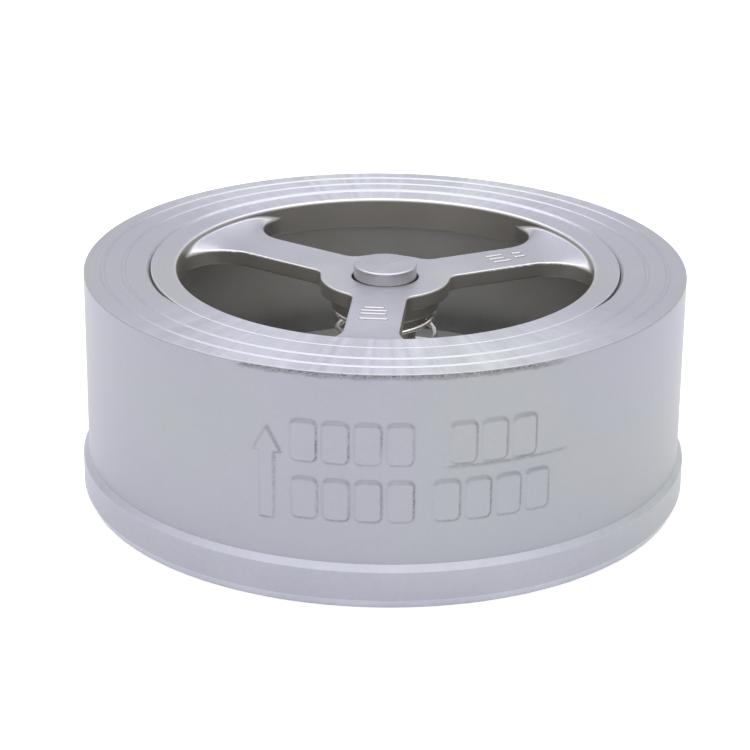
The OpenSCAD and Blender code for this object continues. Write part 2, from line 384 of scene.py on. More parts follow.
def steel(name, base, rough, tints=(COOL, GREENISH), grain_mm=0.0, turned=None, side=None, edge_highlight=0.0,
          stretch=0.0, streaks=0.0):
    """Bare stainless steel.

    base is its darkest and lightest grey and rough its lowest and highest roughness before marks. grain_mm
    is the height of its blasted grain, and turned the height and pitch of its turning marks. side is the
    tint, times the darkest grey, of the painted shade on faces that look sideways or down, and worn the
    grey of the painted highlight on its upper edges. stretch is how far turning draws out its reflections,
    and streaks how fine its streaks across the turning marks are; they vary its roughness and darken its
    colour as a painted reflection."""
    material = bpy.data.materials.new(name)
    g = Graph(material)
    shader = g.tree.nodes["Principled BSDF"]
    place = g.place()
    clouds = g.noise(place, CLOUD_SCALE, 3.0, 0.6)
    fine = g.noise(place, FINE_SCALE, 3.0, 0.6)
    mixed = g.maths("ADD", g.maths("MULTIPLY", clouds, 0.65), g.maths("MULTIPLY", fine, 0.35))
    even = g.spread(mixed, 0.35, 0.65, 0.0, 1.0)
    tone = g.spread(g.noise(place, TONE_SCALE, 1.0), 0.46, 0.7, 0.0, 1.0)
    dark, light = (g.blend(tone, rgba(grey, tints[0]), rgba(grey, tints[1])) for grey in base)
    colour = g.blend(even, dark, light)
    if edge_highlight or side:
        up = g.split(g.node("ShaderNodeTexCoord").outputs["Normal"])[2]
    # Painted highlight: upper edges and slopes, picked by the way their normals look, turn a pale grey
    if edge_highlight:
        edge = g.maths("MULTIPLY", g.spread(up, 0.45, 0.6, 0.0, 1.0), g.spread(up, 0.78, 0.88, 1.0, 0.0))
        colour = g.blend(edge, colour, rgba(edge_highlight, EDGE_HIGHLIGHT_TINT))
    # Painted shade: faces that look sideways or down take a fixed tint of the darkest grey
    if side:
        colour = g.blend(g.spread(up, 0.25, 0.6, 0.0, 1.0), rgba(base[0], side), colour)
    # Painted reflection: radial streaks darken the colour, and they vary the roughness too
    if streaks:
        streak = chatter(g, place, streaks)
        colour = g.blend(g.spread(streak, 0.35, 0.65, 0.0, 0.45), colour, dark)
    # Painted shade: the stored attribute, in specks, darkens the colour towards a near black
    painted_shade_share = g.node("ShaderNodeAttribute", {"attribute_name": PAINTED_SHADE_NAME}).outputs["Fac"]
    specks = g.spread(g.noise(place, SPECK_SCALE), 0.4, 0.6, 0.4, 1.25)
    painted_shade_share = g.maths("MULTIPLY", painted_shade_share, specks)
    painted_shade_share = g.maths("MINIMUM", painted_shade_share, 1.0)
    colour = g.blend(painted_shade_share, colour, PAINTED_SHADE_COLOUR)
    roughness = g.spread(mixed, 0.35, 0.65, *rough)
    if streaks:
        roughness = g.maths("ADD", roughness, g.spread(streak, 0.35, 0.65, 0.05, -0.05))
    normal = None
    if turned:
        marks = turning_marks(g, place, turned[1])
        normal = g.bump(marks, turned[0])
        roughness = g.maths("ADD", roughness, g.spread(marks, 0.3, 0.7, -0.04, 0.04))
    if grain_mm:
        grain = g.maths("MULTIPLY", g.noise(place, GRAIN_SCALE, 4.0, 0.6), 0.6)
        height = g.maths("ADD", grain, g.noise(place, LUMP_SCALE))
        normal = g.bump(height, grain_mm, normal)
    if stretch:
        shader.inputs["Anisotropic"].default_value = stretch
        shader.inputs["Anisotropic Rotation"].default_value = 0.25
        tangent = g.node("ShaderNodeTangent", {"direction_type": "RADIAL", "axis": "Z"})
        g.put(shader.inputs["Tangent"], tangent.outputs[0])
    shader.inputs["Metallic"].default_value = 1.0
    g.put(shader.inputs["Base Color"], colour)
    g.put(shader.inputs["Roughness"], roughness)
    if normal is not None:
        g.put(shader.inputs["Normal"], normal)
    return material


# Tints, times the darkest grey, of the painted shade and light on the faces that look sideways or down, of
# the guide frame and of the stem
SIDE_SHADE = (1.1, 1.06, 1.0)
STEM_SIDE_SHADE = (1.14, 1.10, 1.04)

blasted = steel("steel_blasted", (0.313, 0.352), (0.42, 0.52), grain_mm=0.05, edge_highlight=0.44)
rim = steel("steel_rim", (0.33, 0.378), (0.38, 0.48), grain_mm=0.04)
# Painted light: the ledge and the foot's chamfer get a lighter copy of the cast steel
ledge_painted_light = steel("steel_ledge_painted_light", (0.44, 0.52), (0.55, 0.62), grain_mm=0.05)
faced = steel("steel_faced", (0.50, 0.55), (0.34, 0.42), turned=(0.003, 0.5), stretch=0.75,
              streaks=45.0)
bored = steel("steel_bored", (0.52, 0.575), (0.38, 0.5), (WARM, NEUTRAL), 0.04, (0.01, 0.7))
cast_frame = steel("steel_cast_frame", (0.45, 0.495), (0.36, 0.46), grain_mm=0.035, side=SIDE_SHADE,
                   edge_highlight=0.66)
turned = steel("steel_turned", (0.45, 0.54), (0.25, 0.38), turned=(0.015, 0.5), side=STEM_SIDE_SHADE,
               streaks=2.5)
disc_steel = steel("steel_disc", (0.31, 0.365), (0.35, 0.45), (WARM, NEUTRAL), turned=(0.008, 0.5))
plain = steel("steel_plain", (0.5, 0.56), (0.3, 0.4), (WARM, GREENISH), 0.01)
wire = steel("steel_wire", (0.82, 0.90), (0.22, 0.32), (WARM, NEUTRAL), 0.004)

# ---------------------------------------------------------------- cast marks on the wall

MARK_RELIEF = 0.36
MARK_SOFT = 0.36
ARROW_ARC, ARROW_Z, ARROW_L = -23.4, 17.8, 19.6
ARROW_HEAD_W, ARROW_HEAD_L, ARROW_SHAFT_W = 6.0, 5.3, 3.0
BLOCK_W, BLOCK_H, BLOCK_PITCH, BLOCK_ROUND = 5.2, 8.6, 6.4, 1.2
# Middle height, arc from the front to the first block, and number of blocks of each group
BLOCK_GROUPS = ((35.2, -15.8, 4), (35.2, 16.0, 3), (23.0, -15.6, 4), (23.0, 12.8, 4))
MARKS_ARC = (-38.0, 42.0)
MARKS_Z = (15.0, 42.0)
SCRATCH_ARC = (11.0, 40.0)
SCRATCH_Z = (30.2, 30.5)
SCRATCH_W = 0.2
SCRATCH_DEPTH = 0.15
MARK_STEP = 0.34


def polygon_distance(x, y, corners):
    """Distance to a polygon, negative inside."""
    corners = np.array(corners, float)
    nearest = np.full(np.shape(x), np.inf)
    inside = np.zeros(np.shape(x), bool)
    for (ax, ay), (bx, by) in zip(corners, np.roll(corners, -1, 0)):
        ex, ey = bx - ax, by - ay
        t = np.clip(((x - ax) * ex + (y - ay) * ey) / (ex * ex + ey * ey), 0, 1)
        nearest = np.minimum(nearest, np.hypot(x - ax - t * ex, y - ay - t * ey))
        crosses = (ay > y) != (by > y)
        with np.errstate(divide="ignore", invalid="ignore"):
            inside ^= crosses & (x < (bx - ax) * (y - ay) / (by - ay) + ax)
    return np.where(inside, -nearest, nearest)


def box_distance(x, y, half_w, half_h, corner):
    """Distance to a rectangle about the origin with rounded corners, negative inside."""
    qx, qy = np.abs(x) - half_w + corner, np.abs(y) - half_h + corner
    return np.hypot(np.maximum(qx, 0), np.maximum(qy, 0)) + np.minimum(np.maximum(qx, qy), 0) - corner


def mark_distance(arc, z):
    """Distance to the flow arrow and the blank blocks, negative inside them."""
    shaft, head, neck = ARROW_SHAFT_W / 2, ARROW_HEAD_W / 2, ARROW_L - ARROW_HEAD_L
    arrow = [(-shaft, 0), (shaft, 0), (shaft, neck), (head, neck),
             (0, ARROW_L), (-head, neck), (-shaft, neck)]
    nearest = polygon_distance(arc - ARROW_ARC, z - ARROW_Z, arrow)
    for middle_z, first, count in BLOCK_GROUPS:
        for i in range(count):
            from_middle = arc - first - i * BLOCK_PITCH
            block = box_distance(from_middle, z - middle_z, BLOCK_W / 2, BLOCK_H / 2, BLOCK_ROUND)
            nearest = np.minimum(nearest, block)
    return nearest


def mark_height(arc, z):
    """Height of the marks above the wall."""
    return MARK_RELIEF * ramp(-mark_distance(arc, z), -MARK_SOFT / 2, MARK_SOFT / 2)


def mark_painted_shade(arc, z):
    """Painted shade in the corner round the marks, in patches: most on their right sides, little above
    them.
    """
    small = 0.05
    right = (mark_distance(arc + small, z) - mark_distance(arc - small, z)) / (2 * small)
    up = (mark_distance(arc, z + small) - mark_distance(arc, z - small)) / (2 * small)
    facing = np.clip(0.5 + 0.45 * right - 0.5 * np.maximum(up, 0), 0.05, 1)
    patchy = np.clip(0.65 + 0.6 * waves(3, 0.9 * arc, 0.9 * z), 0.1, 1)
    return facing * patchy * np.exp(-((mark_distance(arc, z) - 0.05) / 0.2) ** 2)


def scratch(arc, z):
    """Strength of the long shallow scratch between the two rows of marks, 0 to 1."""
    along = (arc - SCRATCH_ARC[0]) / (SCRATCH_ARC[1] - SCRATCH_ARC[0])
    height = SCRATCH_Z[0] + (SCRATCH_Z[1] - SCRATCH_Z[0]) * np.clip(along, 0, 1) ** 2
    within = ramp(along, 0, 0.1) * (1 - ramp(along, 0.9, 1))
    return within * np.exp(-((z - height) / SCRATCH_W) ** 2)


# ---------------------------------------------------------------- body

# Slots of the body's materials
CAST, FACED, BORED, RIM, LEDGE = 0, 1, 2, 3, 4
# The top of the wall, where the rows are close enough for the torn skin
EDGE_H = 2.4
EDGE_STEP = 0.15
PLAIN_STEP = 1.5
GROOVE_ROUND = 0.06
SEAT_CHAMFER = 0.5
SEAT_FOOT = 0.6


def groove_corners(middle):
    """A groove in the outlet face, from its outer edge to its inner one."""
    bottom = OUTLET_Z - GROOVE_DEPTH
    return [
        (middle + GROOVE_W / 2, OUTLET_Z, GROOVE_ROUND, FACED),
        (middle + GROOVE_W / 4, bottom, GROOVE_ROUND, FACED),
        (middle - GROOVE_W / 4, bottom, GROOVE_ROUND, FACED),
        (middle - GROOVE_W / 2, OUTLET_Z, GROOVE_ROUND, FACED),
    ]


def body_corners():
    """The body's section, from the inlet's edge up the wall, over the outlet face and down the passage."""
    bore_r = RING_R + RING_GAP
    ring_z = OUTLET_Z - RING_H
    floor_z = SEAT_Z - SEAT_RISE
    wall_low = RIM_H + LEDGE_H
    edge_z = OUTLET_Z - EDGE_H
    wall_z = np.concatenate([
        np.arange(wall_low + PLAIN_STEP, MARKS_Z[0], PLAIN_STEP),
        np.arange(MARKS_Z[0], MARKS_Z[1], MARK_STEP),
        np.arange(MARKS_Z[1], edge_z, 1.0),
        np.arange(edge_z, OUTLET_Z - OUTLET_CHAMFER, EDGE_STEP),
    ])
    wall = [(WALL_R, z, 0, CAST) for z in wall_z]
    corners = [
        (INLET_R, 0, 0.3, FACED),
        (RIM_R - FOOT_W, 0, 0.2, LEDGE),
        (RIM_R, FOOT_H, 0.15, RIM),
        (RIM_R, RIM_H, 0.2, LEDGE),
        (WALL_R, wall_low, 0.2, CAST),
        *wall,
        (WALL_R, OUTLET_Z - OUTLET_CHAMFER, 0, CAST),
        (WALL_R - OUTLET_CHAMFER, OUTLET_Z, 0.1, FACED),
    ]
    for middle in GROOVES:
        corners += groove_corners(middle)
    corners += [
        (bore_r + SEAM_CHAMFER, OUTLET_Z, 0.15, FACED),
        (bore_r, OUTLET_Z - SEAM_CHAMFER, 0.1, BORED),
        (bore_r, ring_z, 0, BORED),
        (CHAMBER_R, ring_z, 0.2, BORED),
        (CHAMBER_R, floor_z + CHAMBER_CORNER, 1.5, BORED),
        (CHAMBER_R - CHAMBER_CORNER, floor_z, 1.5, BORED),
        (SEAT_R + SEAT_W + SEAT_FOOT, floor_z, 0.3, BORED),
        (SEAT_R + SEAT_W, SEAT_Z, 0.1, FACED),
        (SEAT_R + SEAT_CHAMFER, SEAT_Z, 0.1, BORED),
        (SEAT_R, SEAT_Z - SEAT_CHAMFER, 0.1, BORED),
        (SEAT_R, INLET_TAPER_H, 1.0, BORED),
    ]
    return corners


# Depth of the torn skin, its stretch of the wall, and the height of the casting's unevenness
EDGE_CUT = 0.45
EDGE_ARC = (-32.0, 42.0)
CAST_WAVE = 0.012
# Shares of the seam's chamfer at the front and at the back
SEAM_SHUT = 0.12
SEAM_WIDE = 2.0
# Width of the wall's plain columns, away from the marks
REST_STEP = 3.2


def arc_of(angles):
    """Length along the wall from the front, counted anticlockwise seen from above."""
    return ((angles - FRONT + math.pi) % (2 * math.pi) - math.pi) * WALL_R


def ragged_edge(arc, height, angles, seed):
    """How far the as-cast skin under the outlet face is torn back, 0 to 1, with a grain that seed draws."""
    x, y = WALL_R * np.cos(angles), WALL_R * np.sin(angles)
    grain = np.random.default_rng(seed).random(np.shape(height))
    coarse = waves(5, 0.8 * x, 0.8 * y, 0.3 * height) + 0.6 * waves(8, 3.0 * x, 3.0 * y, height)
    ahead = ramp(arc, EDGE_ARC[0], EDGE_ARC[0] + 5) * (1 - ramp(arc, EDGE_ARC[1] - 12, EDGE_ARC[1]))
    band_low = OUTLET_Z - 1.0 + 0.25 * coarse + 0.6 * (grain - 0.5)
    band = ramp(height, band_low - 0.3, band_low + 0.3)
    band = band * (1 - ramp(height, OUTLET_Z - 0.3, OUTLET_Z - 0.15))
    return band * ahead * (0.2 + 0.8 * grain * grain)


def seam_shape(radius, height, angles):
    """Nearly closes the seam round the guide ring at the front, and widens its chamfer at the back."""
    back = np.sin(angles)
    shut = SEAM_SHUT + (1 - SEAM_SHUT) * ramp(back, -0.6, -0.35)
    wide = shut + (SEAM_WIDE - 1) * ramp(back, 0.45, 0.95)
    bore_r = RING_R + RING_GAP
    seam = (radius > bore_r - 0.01) & (radius < bore_r + SEAM_CHAMFER + 0.25)
    seam &= height > OUTLET_Z - SEAM_CHAMFER - 0.25
    radius = np.where(seam, RING_R + RING_GAP * shut + (radius - bore_r) * wide, radius)
    return radius, np.where(seam, OUTLET_Z - (OUTLET_Z - height) * shut, height)


def body_shape(radius, height, angles):
    """Raises the marks on the wall, tears the cast skin back under the outlet face and shapes the seam."""
    arc = np.broadcast_to(arc_of(angles), radius.shape)
    on_wall = np.abs(radius - WALL_R) < 0.01
    above_ledge = height > RIM_H + LEDGE_H + 0.6
    raised = mark_height(arc, height) - EDGE_CUT * ragged_edge(arc, height, angles, 1)
    raised -= SCRATCH_DEPTH * scratch(arc, height)
    raised += CAST_WAVE * (waves(21, 0.8 * arc, 0.8 * height) + waves(22, 2.0 * arc, 2.0 * height))
    radius = np.where(on_wall & above_ledge, radius + raised, radius)
    return seam_shape(radius, height, angles)


def body_painted_shade(x, y, z):
    """Painted shade on the body: round the marks, in the scratch and in the torn skin under the outlet
    face.
    """
    angles = np.arctan2(y, x)
    arc = arc_of(angles)
    outside = np.hypot(x, y) > WALL_R - 1.5
    dark = np.maximum(0.85 * mark_painted_shade(arc, z), ragged_edge(arc, z, angles, 2))
    return np.where(outside, np.maximum(dark, 0.5 * scratch(arc, z)), 0)


def body_angles():
    """Close columns across the marks and wide ones round the rest of the wall."""
    close = np.arange(MARKS_ARC[0], MARKS_ARC[1], MARK_STEP)
    rest = np.arange(MARKS_ARC[1], MARKS_ARC[0] + 2 * math.pi * WALL_R - 1.0, REST_STEP)
    return FRONT + np.concatenate([close, rest]) / WALL_R


valve_body = lathe("valve_body_casting", body_corners(), [blasted, faced, bored, rim, ledge_painted_light],
                   body_angles(), shape=body_shape)
# Painted shade round the marks, in the scratch and under the outlet face, stored on the body's points
painted_shade(valve_body, body_painted_shade)
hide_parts("valve_body")
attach(valve_body, "valve")

# ---------------------------------------------------------------- guide frame


def round_cut(a, b, radius):
    """What two solids share, with its edge rounded."""
    u, v = np.maximum(radius + a, 0), np.maximum(radius + b, 0)
    return np.minimum(-radius, np.maximum(a, b)) + np.hypot(u, v)


def filleted(u, v, distance, centre, radius, toward_end):
    """Adds to a distance in plan the fillet of a circle that touches an arm's side and the ring or hub."""
    end = np.array(centre) / np.hypot(*centre) * (1 if toward_end else -1)
    rel_u, rel_v = u - centre[0], v - centre[1]
    past_side = rel_u > 0 if toward_end else rel_u < 0
    turn = (end[0] * rel_v - end[1] * rel_u) * (1 if toward_end else -1)
    return np.where(past_side & (turn < 0), radius - np.hypot(rel_u, rel_v), distance)


def arm_plan(u, v, r):
    """Distance in plan to the arms, the hub and the ring, with their fillets.

    u runs along the nearest arm and v across it."""
    v = np.abs(v)
    plan = np.where(u > 0, v - ARM_HALF_W, np.hypot(u, v))
    plan = np.minimum(np.minimum(plan, r - HUB_R), RING_BORE_R - r)
    side = ARM_HALF_W + ARM_RING_FILLET
    centre = (math.sqrt((RING_BORE_R - ARM_RING_FILLET) ** 2 - side ** 2), side)
    plan = filleted(u, v, plan, centre, ARM_RING_FILLET, True)
    side = ARM_HALF_W + ARM_HUB_FILLET
    centre = (math.sqrt((HUB_R + ARM_HUB_FILLET) ** 2 - side ** 2), side)
    return filleted(u, v, plan, centre, ARM_HUB_FILLET, False)


def frame_distance(x, y, z):
    """Distance to the guide frame casting, negative inside."""
    r = np.hypot(x, y)
    pitch = 2 * math.pi / ARM_COUNT
    from_arm = (np.arctan2(y, x) - ARM_ANGLE + pitch / 2) % pitch - pitch / 2
    plan = arm_plan(r * np.cos(from_arm), r * np.sin(from_arm), r)
    sweep = np.clip((r - ARM_SWEEP_R) / (RING_BORE_R - ARM_SWEEP_R), 0, 1)
    from_edge = 1 - np.exp(np.minimum(plan, 0) / ARM_SWEEP_EDGE)
    near_wall = np.clip(r - RING_BORE_R + ARM_WALL_FILLET, 0, ARM_WALL_FILLET)
    top = ARM_TOP_Z + ARM_SWEEP_RISE * sweep * sweep * from_edge
    top = top + ARM_WALL_FILLET - np.sqrt(ARM_WALL_FILLET ** 2 - near_wall ** 2)
    arms = round_cut(plan, np.maximum(z - top, ARM_LOW_Z - z), ARM_EDGE_ROUND)
    arms = np.maximum(arms, r - RING_BORE_R - ARM_ROOT)
    ring_outside = round_cut(r - RING_R, z - OUTLET_Z, RING_OUTER_ROUND)
    ring_inside = round_cut(RING_BORE_R - r, z - OUTLET_Z, RING_INNER_ROUND)
    ring = np.maximum(np.maximum(ring_outside, ring_inside), OUTLET_Z - RING_H - z)
    above = z - ARM_LOW_Z - HUB_OVERLAP
    collar = np.maximum(r - BOSS_R, np.maximum(frame_low[2] - z, above))
    hub_seat = round_cut(r - HUB_SEAT_R, np.maximum(HUB_SEAT_Z - z, above), HUB_SEAT_ROUND)
    solid = np.minimum(np.minimum(ring, arms), np.minimum(collar, hub_seat))
    return round_cut(solid, HUB_BORE_R - r, HUB_BORE_ROUND)


def spaced(low, high, step, *fine):
    """Coordinates from low to high, closer together within each (from, to, step) of fine."""
    values = [low]
    while values[-1] < high:
        here = [s for a, b, s in fine if a <= values[-1] < b]
        values.append(values[-1] + min([step, *here]))
    return np.array(values)


def skin(distance, xs, ys, zs):
    """Surface nets: points and quads of the zero surface of distance over a grid of boxes."""
    x, y, z = np.meshgrid(xs, ys, zs, indexing="ij")
    value = distance(x, y, z)
    inside = value < 0
    total = np.zeros(tuple(n - 1 for n in inside.shape) + (3,))
    count = np.zeros(total.shape[:3])
    grid = np.stack([x, y, z], 3)
    for axis in range(3):
        for a in (0, 1):
            for b in (0, 1):
                first, second = [], []
                others = iter((a, b))
                for k in range(3):
                    if k == axis:
                        first.append(slice(0, -1))
                        second.append(slice(1, None))
                    else:
                        shift = next(others)
                        part = slice(shift, inside.shape[k] - 1 + shift)
                        first.append(part)
                        second.append(part)
                first, second = tuple(first), tuple(second)
                crosses = inside[first] != inside[second]
                v0, v1 = value[first], value[second]
                t = np.where(crosses, v0 / np.where(crosses, v0 - v1, 1), 0)
                at = grid[first] + t[..., None] * (grid[second] - grid[first])
                total += np.where(crosses[..., None], at, 0)
                count += crosses
    used = count > 0
    number = np.full(used.shape, -1)
    number[used] = np.arange(used.sum())
    points = total[used] / count[used][:, None]
    quads = []
    for axis in range(3):
        u, v = (axis + 1) % 3, (axis + 2) % 3
        low = [slice(None)] * 3
        high = [slice(None)] * 3
        low[axis], high[axis] = slice(0, -1), slice(1, None)
        a, b = inside[tuple(low)], inside[tuple(high)]
        for flip, found in ((False, a & ~b), (True, ~a & b)):
            at = np.argwhere(found)
            at = at[(at[:, u] > 0) & (at[:, v] > 0)
                    & (at[:, u] < number.shape[u]) & (at[:, v] < number.shape[v])]
            ring = []
            for du, dv in ((1, 1), (0, 1), (0, 0), (1, 0)):
                cell = at.copy()
                cell[:, u] -= du
                cell[:, v] -= dv
                ring.append(number[cell[:, 0], cell[:, 1], cell[:, 2]])
            quad = np.stack(ring, 1)
            quads.append(quad[:, ::-1] if flip else quad)
    return points, np.concatenate(quads)


def slope(distance, points):
    """Gradient of distance at points."""
    small = 1e-3
    columns = []
    for axis in range(3):
        step = np.zeros(3)
        step[axis] = small
        ahead, behind = points + step, points - step
        columns.append((distance(*ahead.T) - distance(*behind.T)) / (2 * small))
    return np.stack(columns, 1)


def settle(distance, points, rounds=5, most=0.15):
    """Moves points onto the zero surface, a little each round. Returns them and their normals."""
    for _ in range(rounds):
        g = slope(distance, points)
        size = np.maximum((g * g).sum(1), 0.25)
        move = -(distance(*points.T) / size)[:, None] * g
        length = np.linalg.norm(move, axis=1, keepdims=True)
        points = points + move * np.minimum(1, most / np.maximum(length, 1e-9))
    g = slope(distance, points)
    return points, g / np.maximum(np.linalg.norm(g, axis=1, keepdims=True), 1e-9)


FRAME_COLUMNS = 520
FRAME_RADIUS_STEP, FRAME_HEIGHT_STEP, FRAME_FINE_STEP = 0.48, 0.4, 0.22


def frame_polar(r, a, z):
    """Distance to the guide frame casting at a radius, an angle and a height."""
    return frame_distance(r * np.cos(a), r * np.sin(a), z)


def guide_frame():
    """The casting, netted over a grid of radius, angle and height that overlaps itself by one column."""
    close_radii = (RING_BORE_R - 0.8, RING_BORE_R + 0.9, FRAME_FINE_STEP)
    close_heights = (ARM_TOP_Z - 0.4, OUTLET_Z + 0.4, FRAME_FINE_STEP)
    radii = spaced(HUB_BORE_R - 0.6, RING_R + 0.5, FRAME_RADIUS_STEP, close_radii)
    angles = 2 * math.pi * np.arange(FRAME_COLUMNS + 2) / FRAME_COLUMNS
    heights = spaced(frame_low[2] - 0.5, OUTLET_Z + 0.4, FRAME_HEIGHT_STEP, close_heights)
    polar, quads = skin(frame_polar, radii, angles, heights)
    r, a, z = polar.T
    points = np.round(np.stack([r * np.cos(a), r * np.sin(a), z], 1), 6)
    points, number = np.unique(points, axis=0, return_inverse=True)
    quads = number.ravel()[quads]
    points, normals = settle(frame_distance, points)
    on_face = (points[quads][:, :, 2].min(1) > OUTLET_Z - 0.01).astype(int)
    return mesh_object("guide_frame_casting", points, [quads], [cast_frame, faced], on_face, normals)


# Blank foundry marks on two of the arms, a bar a row: arm number, middle along and across the arm, and
# length along and width across it
FOUNDRY_BARS = (
    (2, 20.4, -0.6, 0.9, 4.4),
    (2, 22.2, -0.5, 0.9, 5.6),
    (2, 24.0, -0.5, 0.9, 5.6),
    (2, 26.8, -0.2, 1.2, 6.2),
    (0, 27.4, 1.9, 4.2, 0.9),
    (0, 27.2, 0.0, 3.8, 0.9),
    (0, 27.6, -1.9, 4.4, 0.9),
    (0, 32.8, 1.6, 2.4, 0.9),
    (0, 32.6, -0.6, 2.8, 0.9),
)
FOUNDRY_RELIEF = 0.3
FOUNDRY_ROUND = 0.25
FOUNDRY_STEP = 0.14
FOUNDRY_MARGIN = 0.3


def foundry_marks():
    """Small rounded bars sunk half into the tops of the arms."""
    all_points, all_quads, start = [], [], 0
    for arm, along, across, length, width in FOUNDRY_BARS:
        def bar(u, v, h):
            flat = box_distance(u, v, length / 2, width / 2, min(length, width) / 2 - 0.05)
            return round_cut(flat, np.abs(h) - FOUNDRY_RELIEF, FOUNDRY_ROUND)

        us = spaced(-length / 2 - FOUNDRY_MARGIN, length / 2 + FOUNDRY_MARGIN, FOUNDRY_STEP)
        vs = spaced(-width / 2 - FOUNDRY_MARGIN, width / 2 + FOUNDRY_MARGIN, FOUNDRY_STEP)
        points, quads = skin(bar, us, vs, spaced(-0.5, 0.5, FOUNDRY_STEP))
        points, _ = settle(bar, points)
        turn = ARM_ANGLE + 2 * math.pi * arm / ARM_COUNT
        u, v = points[:, 0] + along, points[:, 1] + across
        x = u * math.cos(turn) - v * math.sin(turn)
        y = u * math.sin(turn) + v * math.cos(turn)
        all_points.append(np.stack([x, y, points[:, 2] + ARM_TOP_Z], 1))
        all_quads.append(quads + start)
        start += len(points)
    return mesh_object("guide_frame_marks", np.concatenate(all_points), all_quads, [cast_frame])


guide = guide_frame()
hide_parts("guide_frame")
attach(guide, "valve")

marks = foundry_marks()
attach(marks, "valve")

# ---------------------------------------------------------------- disc

DISC_LAND_W = 6.0
DISC_RIM_W = 6.0
DISC_TOP_Z = SEAT_Z + 8.0
# Radii where the recesses end on the inside, and their depths under and on top of the disc
CLAMP_R = 12.0
SPRING_PAD_R = 15.0
UNDER_RECESS = 1.0
TOP_RECESS = 2.0
STEM_HOLE_R = 5.05
# Room left under the collar at full lift, so that the surfaces don't meet
STOP_GAP = 0.1
BOSS_TOP_Z = disc_high[2] - STOP_GAP


def disc_corners():
    """The disc's section, from the stem's hole out along the seat side and back over the top."""
    outer = disc_high[0]
    rim_in, land_in = outer - DISC_RIM_W, outer - DISC_LAND_W
    return [
        (STEM_HOLE_R, SEAT_Z, 0.3, 0),
        (CLAMP_R, SEAT_Z, 0.3, 0),
        (CLAMP_R + UNDER_RECESS, SEAT_Z + UNDER_RECESS, 0.4, 0),
        (land_in - UNDER_RECESS, SEAT_Z + UNDER_RECESS, 0.4, 0),
        (land_in, SEAT_Z, 0.1, 0),
        (outer, SEAT_Z, 0.8, 0),
        (outer, DISC_TOP_Z, 0.8, 0),
        (rim_in, DISC_TOP_Z, 0.5, 0),
        (rim_in - TOP_RECESS, DISC_TOP_Z - TOP_RECESS, 1.2, 0),
        (SPRING_PAD_R + TOP_RECESS, DISC_TOP_Z - TOP_RECESS, 1.2, 0),
        (SPRING_PAD_R, DISC_TOP_Z, 0.5, 0),
        (BOSS_R, DISC_TOP_Z, 0.1, 0),
        (BOSS_R, BOSS_TOP_Z, 0.5, 0),
        (STEM_HOLE_R, BOSS_TOP_Z, 0.3, 0),
    ]


disc = lathe("valve_disc_turned", disc_corners(), [disc_steel])
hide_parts("valve_disc")
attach(disc, "disc_assembly")

# ---------------------------------------------------------------- stem, with its thread

THREAD_R = 5.0
THREAD_PITCH = 1.5
THREAD_DEPTH = 0.85
THREAD_ROWS = 10
THREAD_TOP_Z = SEAT_Z + 2.0
STEM_COLUMNS = 96


def stem_corners():
    """The stem's section, from the middle of its lower end to the middle of its top."""
    low, top, r = stem_low[2], stem_high[2], stem_high[0]
    thread_z = np.arange(low + 1.0, THREAD_TOP_Z, THREAD_PITCH / THREAD_ROWS)
    threaded = [(THREAD_R, z, 0, 0) for z in thread_z]
    return [
        (0, low, 0, 0),
        (THREAD_R - 0.9, low, 0, 0),
        *threaded,
        (THREAD_R, BOSS_TOP_Z, 0, 0),
        (r, BOSS_TOP_Z, 0.2, 0),
        (r, top, 0.4, 0),
        (0, top, 0, 0),
    ]


def thread_shape(radius, height, angles):
    """Cuts a right-hand thread into the lower end."""
    low = stem_low[2]
    phase = (height / THREAD_PITCH - angles / (2 * math.pi)) % 1
    groove = np.clip(1.25 - np.abs(phase - 0.5) * 4, 0, 1)
    length = ramp(height, low + 0.6, low + 1.4)
    length = length * (1 - ramp(height, THREAD_TOP_Z - THREAD_PITCH, THREAD_TOP_Z))
    on_thread = np.abs(radius - THREAD_R) < 0.01
    return np.where(on_thread, radius - THREAD_DEPTH * groove * length, radius), height


stem_angles = np.linspace(0, 2 * math.pi, STEM_COLUMNS, endpoint=False)
stem = lathe("guide_stem_turned", stem_corners(), [turned], stem_angles,
             closed=False, shape=thread_shape, sharp=50)
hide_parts("guide_stem")
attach(stem, "disc_assembly")

# ---------------------------------------------------------------- lock washer and nut

WASHER_SLIT = 1.4
WASHER_BORE_R = 5.1
WASHER_ROUND = 0.25
NUT_CHAMFER_W, NUT_CHAMFER_H = 0.4, 0.9
NUT_BORE_CHAMFER = 0.5


def lock_washer():
    """A spring washer, pressed flat: a rounded square section swept round, with an open slit."""
    inner, outer = WASHER_BORE_R, (washer_high[0] - washer_low[0]) / 2
    low, high = washer_low[2], washer_high[2]
    section = ((inner, low), (outer, low), (outer, high), (inner, high))
    outline, _ = rounded([(r, z, WASHER_ROUND, 0) for r, z in section])
    half_slit = math.asin(WASHER_SLIT / 2 / outer)
    angles = np.linspace(half_slit, 2 * math.pi - half_slit, 72)
    points = np.array([[r * math.cos(a), r * math.sin(a), z] for a in angles for r, z in outline])
    rows, columns = len(angles), len(outline)
    quads = grid_faces(rows, columns, False, True)[:, ::-1]
    caps = [np.arange(columns)[None, :], (rows - 1) * columns + np.arange(columns)[None, ::-1]]
    return mesh_object("lock_washer_split", points, [quads, *caps], [plain], sharp=50)


